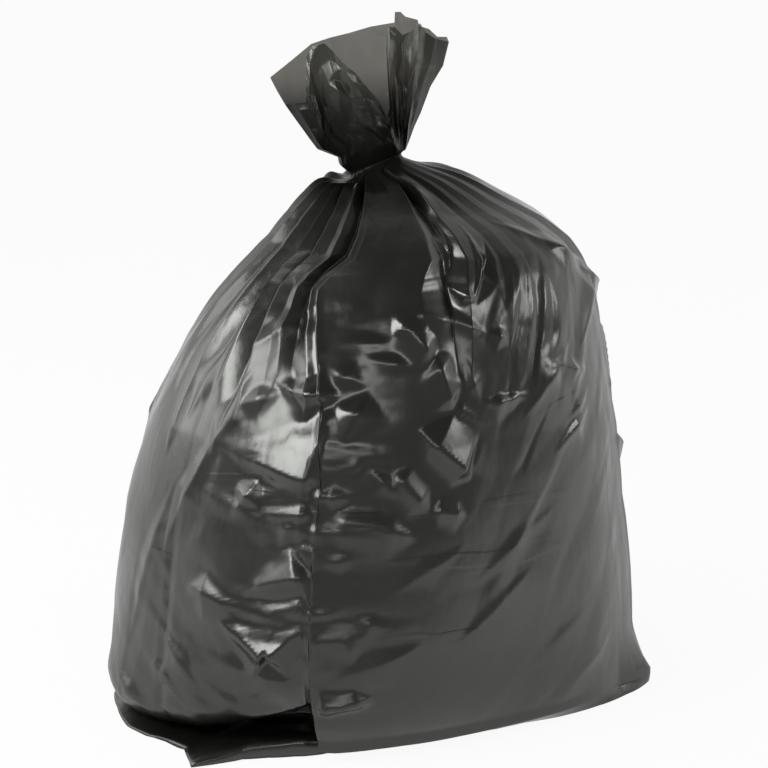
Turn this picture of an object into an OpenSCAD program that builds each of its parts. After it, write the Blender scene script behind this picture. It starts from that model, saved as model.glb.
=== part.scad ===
// Filled sack of thin film, twisted shut: a soft body on the floor, a pinched neck and a fan-shaped tuft.
// Millimetres. The floor is z = 0, +Z is up and the front of the sack faces -Y.

/* [Body] */
// width of the filled body, left to right
body_w = 490; // [400:10:580]
// depth of the filled body, front to back
body_d = 422; // [350:2:500]
// height of the filled body, floor to neck
fill_h = 512; // [430:2:600]
// how square the plan outline is near the floor, 2 is an ellipse
squareness = 2.6; // [2.1:0.1:3.2]
// how far the upper body leans over to the right of the neck
lean = 42; // [0:2:60]

/* [Folds] */
// height of the flat-faced folds in the film, percent
fold_depth = 100; // [0:5:130]
// number of small folds scattered over the right and the back
small_folds = 44; // [0:1:60]
// depth of the gathers that run down from the neck, percent
gather_depth = 100; // [0:5:130]
// height of the ridge along each corner of the film tube
corner_ridge = 8; // [0:0.5:11]

/* [Base] */
// height over which the body rounds in under itself, percent
round_h = 100; // [70:2:120]
// share of that rounding, percent
round_in = 100; // [60:5:110]
// how far the filling sags out near the floor at the left
sag_out = 22; // [0:1:30]
// how far the ears of the bottom seal stand out, percent
ear_reach = 100; // [0:5:130]

/* [Neck] */
// width of the twisted neck
neck_w = 56; // [44:1:70]
// height of the neck between the body and the tuft
neck_h = 9; // [6:0.5:16]
// how much lower the shoulder stands at the front than at the back
shoulder_tilt = 17; // [0:1:26]
// how much higher the neck stands at its right end than at its left
neck_tilt = 20; // [0:1:24]

/* [Tuft] */
// height of the tuft above the neck
tuft_h = 142; // [110:1:170]
// width of the tuft at its rim
tuft_w = 176; // [140:2:210]
// thickness of the flattened tuft at its rim
tuft_d = 78; // [60:2:110]
// height of the folds that run up the tuft
tuft_fold = 5; // [0:0.5:6]
// thickness of the rim of film
rim_t = 1.6; // [1.2:0.1:3]
// height of the bottom of the open mouth, percent of the tuft
mouth_low = 56; // [50:1:64]

/* [Hidden] */

film_grey = [0.10, 0.10, 0.095];

// direction in which the body leans and the tuft spreads, degrees round from +X
spread_turn = -38;
mean_r = (body_w + body_d) / 4;
mm_per_deg = mean_r * PI / 180;
// the fold tables are laid out for a body 490 mm wide and 512 mm high, and follow it from there
size_k = body_w / 490;
height_k = fill_h / 512;
dome_h = fill_h * 1.018;
body_top = fill_h * 0.95;
neck_r = neck_w / 2;

// creases that radiate from the neck: [direction, gather, height in percent where it dies out]
creases = [
    [142, 0.5, 60], [150, -0.7, 55], [157, 0.5, 65], [164, -0.6, 60], [172, 0.8, 50], [179, -0.6, 62],
    [184, 0.9, 62], [190.5, -1.7, 56], [195, 1.1, 58], [201, 0.3, 60], [205, 0.7, 66], [209, -1.6, 66],
    [215, 0.6, 60], [223, 0.1, 75], [231, 0, 75], [240, 0.9, 68], [246, -2, 66], [252, 0.7, 66],
    [259, 0.1, 70], [267, -0.7, 74], [274, 0.1, 78], [281, -0.1, 78], [289, 0.2, 80], [298, -0.15, 80],
    [306, 0.3, 78], [315, -0.2, 75], [322, 0.3, 70], [333, -0.6, 60], [344, 0.5, 58], [355, -0.2, 60],
    [366, 0.6, 55], [377, -0.7, 60], [388, 0.3, 58], [399, -0.4, 50], [411, 0.7, 60], [422, -0.3, 56],
    [433, 0.2, 62], [444, -0.7, 58], [456, 0.5, 55], [467, -0.3, 60], [479, 0.7, 56], [490, -0.6, 58],
    [502, 0.5, 60]
];

// sideways drift of the body's middle with height: [height in percent, share of the lean]
drift = [[0, 0], [37, 0], [55, 0.17], [67, 0.45], [75, 0.69], [83, 0.93], [87, 1], [91.5, 0.9],
         [95.5, 0.7], [98, 0.35], [100, -0.1]];

// outline of the film on the floor: [direction, share of the body's outline]
footprint = [[142, 1.05], [150, 1.01], [162, 1.05], [173, 1.08], [179, 1.08], [184, 1.05],
             [190, 1.04], [197, 1.14], [203, 0.97], [213, 0.87], [223, 0.81], [239, 0.765], [256, 0.8], [272, 0.85],
             [290, 0.93], [302, 1], [310, 1.03], [319, 1.09], [326, 1], [340, 0.95], [360, 0.97],
             [390, 0.95], [411, 0.97], [420, 0.94], [450, 0.92], [480, 0.95], [502, 1.05]];

// how strongly the body rounds in above the floor: [direction, share, height of the rounding in mm]
tuck = [
    [142, 0.2, 45], [160, 0.16, 34], [178, 0.22, 34], [190, 0.35, 44], [205, 0.6, 70], [214, 0.7, 90],
    [217, 0.75, 108], [219.5, 0.22, 108], [239, 0.235, 112], [255, 0.2, 108], [272, 0.14, 100],
    [290, 0.07, 90], [310, 0, 70], [319, 0, 60], [328, 0.1, 70], [340, 0.25, 80], [360, 0.3, 80],
    [390, 0.3, 80], [420, 0.3, 80], [450, 0.35, 90], [480, 0.3, 80], [502, 0.2, 45]
];

// lower edge of the body, where it turns in over the film on the floor:
// [direction, height of the edge, how far the crease under it is set in, height of that crease]
hem = [
    [142, 9, 4, 5], [160, 6, 4, 3.6], [172, 6.5, 10, 3.6], [179, 9, 30, 4], [184, 12, 50, 5],
    [190, 17, 68, 6], [197, 25, 78, 8], [203, 33, 82, 10], [209, 42, 80, 12], [214, 51, 74, 14],
    [217, 54, 66, 16], [219.5, 24, 1, 12], [223, 20, 0, 10], [300, 18, 0, 9], [319, 14, 0, 8],
    [330, 16, 5, 11], [360, 16, 6, 11], [450, 18, 7, 13], [502, 9, 4, 5]
];

// wander of the front left corner of the tube with height: [height in percent, degrees]
corner_drift = [[0, 0], [50, 0], [55, -1.5], [63, -4], [68, -7], [75.5, -13], [81.5, -19], [100, -22]];

// flat-faced folds: [direction and height (percent) of one end, the same of the other end,
// place of the peak along the crest, reach above the crest, reach below it, height of the peak]
folds = [
    [191, 53.6, 219, 51.2, 0.9, 58, 40, 13], [202, 64, 213, 67.9, 0.7, 14, 26, 5],
    [192, 60.8, 205, 64.9, 0.5, 12, 20, 4], [206, 44.7, 215, 49.8, 0.5, 26, 24, 7],
    [198, 48.9, 206, 44.7, 0.5, 24, 20, 6], [209, 44, 216, 42.3, 0.6, 14, 20, 5],
    [214, 38.9, 220, 39.5, 0.5, 8, 16, 3.5], [222, 55.9, 225, 65.2, 0.6, 24, 26, 7],
    [213, 68.5, 225, 65.7, 0.5, 12, 8, 4], [219, 52, 228, 53, 0.8, 6, 10, 3],
    [228, 53, 240, 45.3, 0.4, 6, 12, 4], [233, 52.2, 243, 44, 0.6, 12, 22, 6],
    [242, 44.6, 254, 43.6, 0.5, 10, 22, 6], [239, 58.8, 253, 49.7, 0.7, 26, 22, 8],
    [253, 49.7, 261, 55.4, 0.4, 20, 20, 7], [248, 61.3, 240, 70.5, 0.4, 10, 14, 6],
    [248, 61.9, 260, 57.7, 0.3, 5, 14, 4], [258, 61.1, 251, 70.3, 0.4, 8, 12, 5],
    [258, 61.7, 278, 61.9, 0.3, 6, 16, 5], [221, 70.8, 239, 68.5, 0.5, 8, 14, 3],
    [211, 72.4, 230, 73.2, 0.5, 8, 14, 2.5], [221, 44.3, 234, 40.7, 0.6, 12, 20, 5],
    [232, 43.3, 242, 39.7, 0.6, 8, 16, 4], [219, 48.2, 226, 47.7, 0.4, 12, 12, 4],
    [220, 37.6, 228, 37.3, 0.5, 7, 14, 3], [203, 28.9, 219, 36.7, 0.6, 22, 24, 8],
    [187, 29.6, 204, 28.4, 0.4, 16, 24, 5], [209, 27.7, 220, 30.6, 0.7, 12, 12, 5],
    [199, 24.9, 210, 19.3, 0.8, 26, 22, 8], [210, 19.3, 216, 26.2, 0.2, 22, 18, 8],
    [212, 21.4, 219, 19.9, 0.8, 18, 14, 5], [204, 20.6, 216, 13, 0.5, 10, 24, 4],
    [216, 13.1, 229, 10.7, 0.4, 13, 16, 7], [226, 28.3, 236, 25.2, 0.5, 6, 16, 4],
    [226, 25, 228, 19, 0.5, 8, 10, 4], [227, 77, 244, 67.3, 0.4, 20, 26, 9],
    [226, 79.3, 260, 73.3, 0.5, 14, 20, 5], [258, 73.8, 268, 71.1, 0.5, 8, 12, 4],
    [242, 82.2, 253, 79.5, 0.6, 10, 10, 5], [242, 82.2, 246, 95, 0.6, 20, 8, 10],
    [252, 79.1, 260, 95, 0.5, 8, 16, 6], [279, 95, 321, 81.4, 0.6, 16, 24, 7],
    [321, 81.4, 299, 66.1, 0.3, 18, 24, 6], [280, 66.8, 304, 63.3, 0.6, 10, 16, 6],
    [283, 49.6, 303, 57.6, 0.6, 12, 20, 6], [290, 54.9, 303, 60.5, 0.5, 10, 14, 4],
    [221, 15.3, 244, 21.9, 0.5, 20, 24, 5], [163, 10.8, 180, 3.3, 0.5, 10, 14, 4],
    [174, 16.7, 191, 7.8, 0.5, 10, 14, 4], [180, 21.3, 195, 10.1, 0.5, 10, 14, 4],
    [255, 30.1, 286, 42.1, 0.5, 24, 24, 5], [247, 18.3, 278, 31.9, 0.5, 24, 24, 5],
    [269, 10.9, 301, 22.7, 0.5, 22, 24, 5], [233, 30, 256, 38.5, 0.5, 18, 24, 4],
    [289, 7.4, 308, 15.4, 0.5, 18, 20, 4], [272, 57.4, 297, 70.9, 0.5, 14, 20, 4],
    [177, 28.8, 191, 60.7, 0.5, 18, 24, 4], [169, 14.8, 179, 48, 0.5, 18, 24, 3.5],
    [188, 49.4, 194, 68.5, 0.5, 18, 20, 5], [176, 56.2, 180, 72.4, 0.5, 18, 18, 4],
    [186, 68.2, 205, 80.6, 0.5, 18, 24, 5], [266, 91, 252, 78, 0.5, 18, 14, -8]
];

// rim of the tuft at each crease, from its left end round the front and back:
// percent of the half width across, of the height up and of the half depth out to the front
rim = [
    [-107, 54, 0], [-100, 46, 15], [-91, 37, 31], [-80, 38, 46], [-68, 39, 56], [-68, 54, 51],
    [-68, 68, 41], [-61, 75, 36], [-49, 77, 46], [-40, 72, 46], [-30, 65, 62], [-17, 59, 72],
    [-5, 50, 79], [7, 42, 85], [17, 30, 77], [19, 34, 60], [18, 46, 50], [17, 59, 44], [16, 74, 40],
    [18, 87, 38], [25, 87, 38], [33, 82, 26], [43, 85, 44], [51, 90, 58], [57, 84, 38], [66, 80, 31],
    [82, 77, 0], [80, 80, -21], [70, 80, -31], [61, 85, -36], [51, 87, -31], [49, 91, -31],
    [36, 93, -36], [31, 96, -36], [25, 96, -31], [25, 89, -41], [16, 88, -51], [-1, 86, -62],
    [-23, 82, -67], [-44, 79, -62], [-64, 75, -51], [-84, 65, -31], [-107, 54, 0]
];

// where the folds of the tuft leave the neck: [crease, direction]
root = [
    [0, 142], [3, 160], [6, 192], [8, 218], [10, 246], [12, 264], [14, 278], [16, 288], [20, 303],
    [23, 315], [26, 322], [30, 350], [34, 390], [38, 440], [42, 502]
];

// directions of the columns of points: every crease and the middle between two creases
columns = [for (i = [0 : len(creases) - 2]) each
           [creases[i][0], (creases[i][0] + creases[i + 1][0]) / 2]];
n_cols = len(columns);
body_rings = 50;
cone_rings = 4;
pinch_rings = 3;
mouth_rings = 3;

gather_at = [for (c = creases) [c[0], c[1]]];
reach_at = [for (c = creases) [c[0], c[2]]];
across_at = [for (i = [0 : len(rim) - 1]) [i, rim[i][0]]];
up_at = [for (i = [0 : len(rim) - 1]) [i, rim[i][1]]];
out_at = [for (i = [0 : len(rim) - 1]) [i, rim[i][2]]];
tuck_at = [for (c = tuck) [c[0], c[1]]];
round_at = [for (c = tuck) [c[0], c[2]]];
edge_at = [for (c = hem) [c[0], c[1]]];
inset_at = [for (c = hem) [c[0], c[2]]];
crease_at = [for (c = hem) [c[0], c[3]]];

// shortest turn from b to a
function turn_from(a, b) = let (d = a - b) d > 180 ? d - 360 : d < -180 ? d + 360 : d;
function mix(a, b, k) = a + (b - a) * k;
function clamp01(x) = max(0, min(1, x));
// saw of period 1 between -1 and 1
function saw(x) = 1 - 4 * abs(x - floor(x) - 0.5);

// one fold made ready: start, unit vector along the crest, length, peak, reaches, height
function prepared(f) =
    let (ds = turn_from(f[2], f[0]) * mm_per_deg, dz = (f[3] - f[1]) / 100 * fill_h,
         l = max(1, norm([ds, dz])))
    [f[0], f[1] / 100 * fill_h, ds / l, dz / l, l, f[4], f[5] * 1.15 * size_k, f[6] * 1.15 * size_k,
     f[7] * size_k * 1.3 * fold_depth / 100];

// small folds, scattered over the right and the back and steeper towards the neck
scatter = rands(0, 1, 6 * 60, 41);
scattered = [for (i = [0 : 1 : small_folds - 1])
    let (u = [for (k = [0 : 5]) scatter[6 * i + k]],
         a = (326 + 170 * ((i * 0.618 + 0.1 * u[0]) % 1)) % 360,
         z = 10 + 70 * (i + u[1]) / max(1, small_folds),
         half = 8 + 7 * u[2],
         rise = (u[3] - 0.5) * 8 + (z > 50 ? (u[4] > 0.5 ? 9 : -9) : 0))
    [a - half, z - rise, a + half, z + rise, 0.3 + 0.4 * u[5], 14 + 10 * u[4], 14 + 20 * u[1],
     5 + 4 * u[2]]];

all_folds = [for (f = folds) prepared(f), for (f = scattered) prepared(f)];

// how far one fold lifts the film at direction a and height z
function lift(f, a, z) =
    let (s = turn_from(a, f[0]) * mm_per_deg, y = z - f[1], t = (s * f[2] + y * f[3]) / f[4])
    t <= 0 || t >= 1 ? 0 :
    let (across = y * f[2] - s * f[3],
         ramp = t < f[5] ? t / f[5] : (1 - t) / (1 - f[5]),
         side = across > 0 ? across / f[6] : -across / f[7])
    f[8] * max(0, ramp - side);

// the film follows the highest outward fold and the deepest inward one
function all_lift(a, z) =
    let (w = a % 360, h = concat([0], [for (f = all_folds) lift(f, w, z)])) max(h) + min(h);

// plan outline of the body at height z, before any fold
function outline(a, z) =
    let (t = min(0.9999, z / dome_h), e = squareness - 0.45 * t)
    pow(1 - pow(t, 2.6), 0.5)
    * pow(pow(abs(cos(a)) / (body_w / 2), e) + pow(abs(sin(a)) / (body_d / 2), e), -1 / e);

// rounding in towards the floor
function rounding(a, z) =
    let (u = clamp01(1 - z / (lookup(a, round_at) * height_k * round_h / 100)))
    1 - lookup(a, tuck_at) * round_in / 100 * (1 - sqrt(1 - u * u));

// sag of the filling over the floor at the left
function sag(a, z) =
    sag_out * max(0, 1 - abs(a < 400 ? a - 168 : a - 528) / 36) * pow(clamp01(1 - z / (0.42 * fill_h)), 1.2);

// corner of the film tube drawn out near the floor, front right and back left
function ear(a, z) =
    let (low = clamp01(1 - z / (62 * height_k)))
    30 * ear_reach / 100 * size_k * pow(low, 1.5)
    * (max(0, 1 - abs(a - 319) / 9) + 0.6 * max(0, 1 - abs(turn_from(a % 360, 142)) / 10));

// ridge of the given width in degrees, sharp along its middle
function ridge(w, middle_at, wide) =
    let (d = abs(turn_from(w, middle_at))) 0.75 * max(0, 1 - d / wide) + 0.25 * max(0, 1 - d / 4);

// ridge along each corner of the tube and a shallow groove down the middle of each side
function corner_lift(a, z) =
    let (w = a % 360, k = clamp01(1.25 - z / fill_h))
    k * corner_ridge * (ridge(w, 219, 13) + 0.6 * (ridge(w, 321, 8) + ridge(w, 39, 8) + ridge(w, 141, 8))
    - 0.5 * max(0, 1 - abs(w - 182) / 4) - 0.5 * max(0, 1 - abs(turn_from(w, 0)) / 7));

function gathers(a, z) =
    let (from = lookup(a, reach_at) / 100 * fill_h,
         k = clamp01((z - from) / (fill_h - from)))
    lookup(a, gather_at) * gather_depth / 100 * 0.07 * pow(k, 0.7);

// the film's distance from the middle in direction a at height z, on the column that starts at a0
function film_r(a0, a, z) =
    let (r = outline(a, z))
    r * rounding(a0, z) * (1 + gathers(a0, z))
    + (all_lift(a, z) + corner_lift(a0, z)) * clamp01(r / (130 * size_k)) + ear(a0, z) + sag(a0, z);

spread = [cos(spread_turn), sin(spread_turn)];
function middle(z) = spread * lean * lookup(z / fill_h * 100, drift);

// rise of the shoulder towards the back and its fall towards the right
function shoulder(a, z) =
    let (right = cos(a - spread_turn))
    pow(clamp01((z / fill_h - 0.72) / 0.25), 1.6)
    * (-shoulder_tilt * max(-0.15, cos(a - 232)) + neck_tilt * (right > 0 ? -0.75 : 0.3) * right);

function at(m, r, a, z) = [m[0] + r * cos(a), m[1] + r * sin(a), z];

// film spread on the floor, from its edge up to the crease under the body and the body's lower edge
function foot_ring(k) = [for (i = [0 : n_cols - 1])
    let (a = columns[i],
         share = lookup(a, footprint),
         edge = outline(a, 0) * (share > 1 ? 1 + (share - 1) * ear_reach / 100 : share)
                + 1.6 * size_k * saw(i / 6),
         ze = lookup(a, edge_at) * height_k,
         zc = lookup(a, crease_at) * height_k,
         deep_r = film_r(a, a, ze) - lookup(a, inset_at) * size_k)
    k == 0 ? at([0, 0], edge, a, 0)
    : k == 1 ? at([0, 0], edge - rim_t / 2, a, rim_t)
    : k == 2 ? at([0, 0], mix(edge, deep_r, 0.55) + 1.5 * size_k * saw(i / 6 + 0.5), a, mix(rim_t / 2, zc, 0.5))
    : k == 3 ? at([0, 0], deep_r, a, zc)
    : at([0, 0], mix(deep_r, film_r(a, a, ze), 0.12), a, mix(zc, ze, 0.75))];

// shift that brings a point lying close to the crest of a fold onto that crest: [degrees, mm]
function to_crest(a, z) =
    let (w = a % 360,
         near = [for (f = all_folds)
             let (s = turn_from(w, f[0]) * mm_per_deg, y = z - f[1], t = (s * f[2] + y * f[3]) / f[4])
             if (t > 0 && t < 1)
                 let (across = y * f[2] - s * f[3])
                 if (abs(across) < max(4.6 * abs(f[2]), 6.6 * abs(f[3])) * size_k)
                     [abs(across), across * f[3] / mm_per_deg, -across * f[2]]],
         best = min(concat([99], [for (n = near) n[0]])))
    len(near) == 0 ? [0, 0] : [for (n = near) if (n[0] == best) [n[1], n[2]]][0];

// the body's grid: direction of the column, direction, height and distance of each point
body = [for (j = [0 : body_rings - 1]) [for (i = [0 : n_cols - 1])
    let (a0 = columns[i],
         s = j == 0 ? 0 : 1 - pow(1 - j / (body_rings - 1), 1.35),
         z0 = mix(lookup(a0, edge_at) * height_k, body_top, s),
         near = max(0, 1 - abs(a0 - 219) / 45),
         a1 = a0 + lookup(z0 / fill_h * 100, corner_drift) * near,
         shift = j < 2 || j > body_rings - 8 ? [0, 0] : to_crest(a1, z0),
         a = a1 + shift[0],
         z = z0 + shift[1])
    [a0, a, z, film_r(a0, a, z)]]];

function body_ring(j) = [for (p = body[j]) at(middle(p[2]), p[3], p[1], p[2] + shoulder(p[1], p[2]))];

function neck_z(a) = fill_h + neck_tilt / 2 * cos(a - spread_turn);

// middle of the neck, and a point given across, out to the front and up from it
neck_middle = middle(fill_h) + 4.5 * size_k * spread;
function from_neck(x, y, z) = [neck_middle[0] + x * spread[0] + y * spread[1],
                               neck_middle[1] + x * spread[1] - y * spread[0], z];

// crease number of a column, whole on a crease and half way on the one between two creases
function crease_of(i) = i / 2;
function root_of(i) = lookup(crease_of(i), root);

// lowest ring of the neck, where the pleats arrive
neck_low = [for (a = columns) at(neck_middle, neck_r * 1.05 + 2 * size_k * lookup(a, gather_at), a,
                                 neck_z(a) - neck_h)];

// pleats that run from the shoulder up to the neck, k rings up
function cone_ring(k) =
    let (t = k / cone_rings, top = body_ring(body_rings - 1))
    [for (i = [0 : n_cols - 1])
     let (lift_up = (4.2 * lookup(columns[i], gather_at) * pow(sin(180 * t), 0.8) + 6 * sin(180 * t)) * height_k)
     mix(top[i], neck_low[i], t) + [0, 0, lift_up]];

// squeezed neck, where the film turns into the folds of the tuft
function pinch_ring(k) =
    let (t = k / pinch_rings, turned = t * t * (3 - 2 * t), squeeze = 1 - 0.16 * sin(180 * t),
         flat = mix(1.05, 0.65, turned))
    [for (i = [0 : n_cols - 1])
     let (b = mix(columns[i], root_of(i), turned), w = b - spread_turn,
          r = neck_r * squeeze + size_k * lookup(columns[i], gather_at) * (1 - turned))
     from_neck(r * cos(w), -r * flat * sin(w), neck_z(b) - neck_h * (1 - t))];

// how the tuft opens out with height, at its left end and at its right end
left_spread = [[0, 0], [0.08, 0.1], [0.21, 0.13], [0.34, 0.475], [0.68, 0.75], [1, 1]];
right_spread = [[0, 0], [0.31, 0.3], [0.59, 0.565], [0.78, 0.87], [1, 1]];
tuft_share = [0.09, 0.21, 0.34, 0.5, 0.74, 1];
right_end = 26;
rim_last = len(rim) - 1;

// point of the tuft on column i at share v of the way up: across, out to the front and up from the neck
function tuft_point(i, v) =
    let (n = crease_of(i), w = root_of(i) - spread_turn,
         across = lookup(n, across_at) / 100, out = lookup(n, out_at) / 100,
         ends = min(n, abs(n - right_end), rim_last - n),
         face = (n < right_end ? 1 : -1) * min(1, ends / 3),
         g = mix(lookup(v, right_spread), lookup(v, left_spread), clamp01((1 - across) / 1.6)),
         fold = saw(n / 2) * (0.6 + 0.4 * sin(n * 132)) * tuft_fold * min(1, abs(n - 16) / 5),
         x = mix(neck_r * cos(w), across * tuft_w / 2 - 4.5 * size_k, g),
         y = mix(-neck_r * 0.65 * sin(w), out * tuft_d / 2, pow(v, 0.7))
             + face * (8 * size_k * sin(180 * pow(v, 0.8)) + fold * min(1, v / 0.25) * (1 - 0.55 * v)))
    [x, y, mix(neck_z(root_of(i)), fill_h + lookup(n, up_at) / 100 * tuft_h, v)];

function tuft_ring(k) = [for (i = [0 : n_cols - 1])
                         let (p = tuft_point(i, tuft_share[k])) from_neck(p[0], p[1], p[2])];

// ring of the inner side of the film, moved in square to the way the film runs
function mouth_ring(k) =
    [for (i = [0 : n_cols - 1])
     let (low = min(0.92, mouth_low / lookup(crease_of(i), up_at)),
          v = mix(1, low, k / (mouth_rings - 1)), p = tuft_point(i, v),
          run = tuft_point((i + 2) % n_cols, v) - tuft_point((i + n_cols - 2) % n_cols, v),
          square = cross(run, p - tuft_point(i, v - 0.1)),
          q = p + square / norm(square) * min(rim_t, 0.3 * norm(run)))
     from_neck(q[0], q[1], q[2])];

rings = [for (k = [0 : 4]) foot_ring(k), for (j = [0 : body_rings - 1]) body_ring(j),
         for (k = [1 : cone_rings]) cone_ring(k), for (k = [1 : pinch_rings]) pinch_ring(k),
         for (k = [0 : len(tuft_share) - 1]) tuft_ring(k), for (k = [0 : mouth_rings - 1]) mouth_ring(k)];
n_rings = len(rings);
raw = [for (r = rings) each r, [0, 0, 0]];

// the sack stands with the middle of its bounding box over the origin
xs = [for (p = raw) p[0]];
ys = [for (p = raw) p[1]];
shift = [(min(xs) + max(xs)) / 2, (min(ys) + max(ys)) / 2, 0];
points = [for (p = raw) p - shift];

// a quad split along the diagonal that leaves the outward crest between its halves
function quad(a, b, c, d) =
    let (p = points[a])
    cross(points[b] - p, points[c] - p) * (points[d] - p) > 0
    ? [[a, b, c], [a, c, d]] : [[a, b, d], [b, c, d]];

// true where the first diagonal of a cell of the body lies closer to the film than the second
function first_fits(j, i) =
    let (n = (i + 1) % n_cols, turn = n == 0 ? 360 : 0,
         p = body[j][i], q = body[j + 1][i], r = body[j + 1][n], t = body[j][n],
         film = film_r((p[0] + q[0] + r[0] + t[0] + 2 * turn) / 4, (p[1] + q[1] + r[1] + t[1] + 2 * turn) / 4,
                       (p[2] + q[2] + r[2] + t[2]) / 4))
    abs((p[3] + r[3]) / 2 - film) < abs((q[3] + t[3]) / 2 - film);

// column of the back of the mouth that lies behind column i of its front
function behind(i) = n_cols - round(i * (n_cols - 2 * right_end) / (2 * right_end));

faces = concat(
    [for (j = [0 : n_rings - 2], i = [0 : n_cols - 1])
     let (n = (i + 1) % n_cols, b = j * n_cols,
          v = [b + i, b + n_cols + i, b + n_cols + n, b + n])
     each (j < 5 || j > body_rings + 3 ? quad(v[0], v[1], v[2], v[3])
           : first_fits(j - 5, i) ? [[v[0], v[1], v[2]], [v[0], v[2], v[3]]]
           : [[v[0], v[1], v[3]], [v[1], v[2], v[3]]])],
    [for (i = [0 : n_cols - 1]) [n_rings * n_cols, i, (i + 1) % n_cols]],
    [for (i = [0 : 2 * right_end - 1])
     let (b = (n_rings - 1) * n_cols, near = behind(i), next = behind(i + 1))
     each [if (i > 0) [b + near, b + i + 1, b + i],
           if (next < near && next > i + 1) [b + i + 1, b + near % n_cols, b + next]]]);

module tied_sack() {
    color(film_grey)
        polyhedron(points = points, faces = faces, convexity = 12);
}

tied_sack();
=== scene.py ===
"""Look of the filled bin bag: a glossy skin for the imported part, a see-through tuft, studio and camera."""
import math

import bpy
import numpy as np
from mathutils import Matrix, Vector
from mathutils.bvhtree import BVHTree
from mathutils.geometry import delaunay_2d_cdt


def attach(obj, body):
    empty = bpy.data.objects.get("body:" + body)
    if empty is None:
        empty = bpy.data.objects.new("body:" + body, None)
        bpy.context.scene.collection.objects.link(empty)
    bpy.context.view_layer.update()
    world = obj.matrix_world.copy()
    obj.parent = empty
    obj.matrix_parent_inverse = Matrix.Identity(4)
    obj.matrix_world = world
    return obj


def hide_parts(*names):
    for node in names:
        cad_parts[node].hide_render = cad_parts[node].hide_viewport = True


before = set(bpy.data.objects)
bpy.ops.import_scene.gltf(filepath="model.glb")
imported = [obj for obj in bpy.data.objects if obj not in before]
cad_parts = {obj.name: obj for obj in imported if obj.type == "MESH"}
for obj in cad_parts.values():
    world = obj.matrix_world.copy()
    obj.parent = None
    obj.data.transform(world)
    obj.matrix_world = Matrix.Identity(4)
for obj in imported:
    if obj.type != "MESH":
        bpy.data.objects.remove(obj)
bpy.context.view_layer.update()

# The sack's shape, in millimetres and degrees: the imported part's surface, with a finer grid and finer folds.
# Directions: 0 is +X, 90 the back and 270 the front, and a full round is counted from 142 to 502. CENTRING is
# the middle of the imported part's box, which the frame puts at 0.
BODY_W = 490.0
BODY_D = 422.0
FILL_H = 512.0
SQUARENESS = 2.6
LEAN = 42.0
SPREAD_TURN = -38.0
MM_PER_DEG = (BODY_W + BODY_D) / 4 * math.pi / 180
DOME_H = FILL_H * 1.018
BODY_TOP = FILL_H * 0.95
CORNER = 219
OTHER_CORNERS = (321, 39, 141)
LEFT_GUSSET = 182
RIGHT_GUSSET = 0
CORNER_RIDGE = 8
PLEAT = 246
EAR_OUT = 30
EAR_H = 62
RIGHT_EAR = 319
LEFT_EAR = 142
FLOOR_GAP = 0.4
HEM_STANDS_AT = 209
HEM_STANDS_UP = 7
HEM_WAVES = 14
HEM_WAVE = 1.6
NECK_R = 28.0
NECK_H = 9.0
NECK_SHIFT = 4.5
NECK_FLAT = 0.65
NECK_TILT = 20.0
SHOULDER_TILT = 17.0
SHOULDER_AT = 232
TUFT_H = 142.0
TUFT_W = 176.0
TUFT_D = 78.0
TUFT_FOLD = 1.5
TUFT_STEP = 6
TUFT_FILM_H = 150
SAG_OUT = 22.0
SAG_AT = 168
SAG_H = 0.42 * FILL_H
GATHER_DEPTH = 0.07
FOLD_SCALE = 1.3
FOLD_REACH = 1.15
FOLD_SEED = 5
SCATTERED_FOLDS = 44
CENTRING = np.array([-10.29, 2.0, 0.0])

# Rows of the grid, and its columns between two creases, at the front up to FRONT_END and then at the back.
BODY_ROWS = 170
HEM_ROWS = 9
CONE_ROWS = 24
PINCH_ROWS = 8
TUFT_ROWS = 60
FRONT_COLUMNS = 12
BACK_COLUMNS = 8
FRONT_END = 322

# The film's colour, the tint of its gloss, the colour of the light through the tuft, and the photo's right.
# The gloss and that light change with height: two heights in metres, and the values below and above them.
FILM_COLOUR = (0.0068, 0.0069, 0.0056, 1)
GLOSS_TINT = (0.98, 1.0, 0.955, 1)
THROUGH_COLOUR = (0.137, 0.132, 0.12, 1)
TO_RIGHT = (0.788, -0.616, 0)
# Painted shade: the gloss of the body and of the tuft's lower part drops by the neck, where the pleats hold
# shade.
BODY_GLOSS_PAINTED_SHADE = (0.445, 0.502, 1.0, 0.08)
TUFT_GLOSS_PAINTED_SHADE = (0.515, 0.62, 0.05, 0.9)
TUFT_THROUGH = (0.54, 0.6, 0, 1)

# The camera: direction, height angle, distance in metres, lens and sensor in millimetres, the picture's size
# in pixels, and how far the aim lies right of the middle of the sack's foot and above it, in pixels.
AZ = -38.0
EL = 12.5
DIST = 2.05
LENS = 100
SENSOR = 36
PHOTO_PX = 768
TARGET_RIGHT_PX = 8
TARGET_UP_PX = 301
# The floor, just under the sack, and the point that the lamps aim at, in metres.
FLOOR_SIZE = 60
FLOOR_DROP = 0.0005
LIT_POINT = Vector((0, 0, 0.3))

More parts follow.
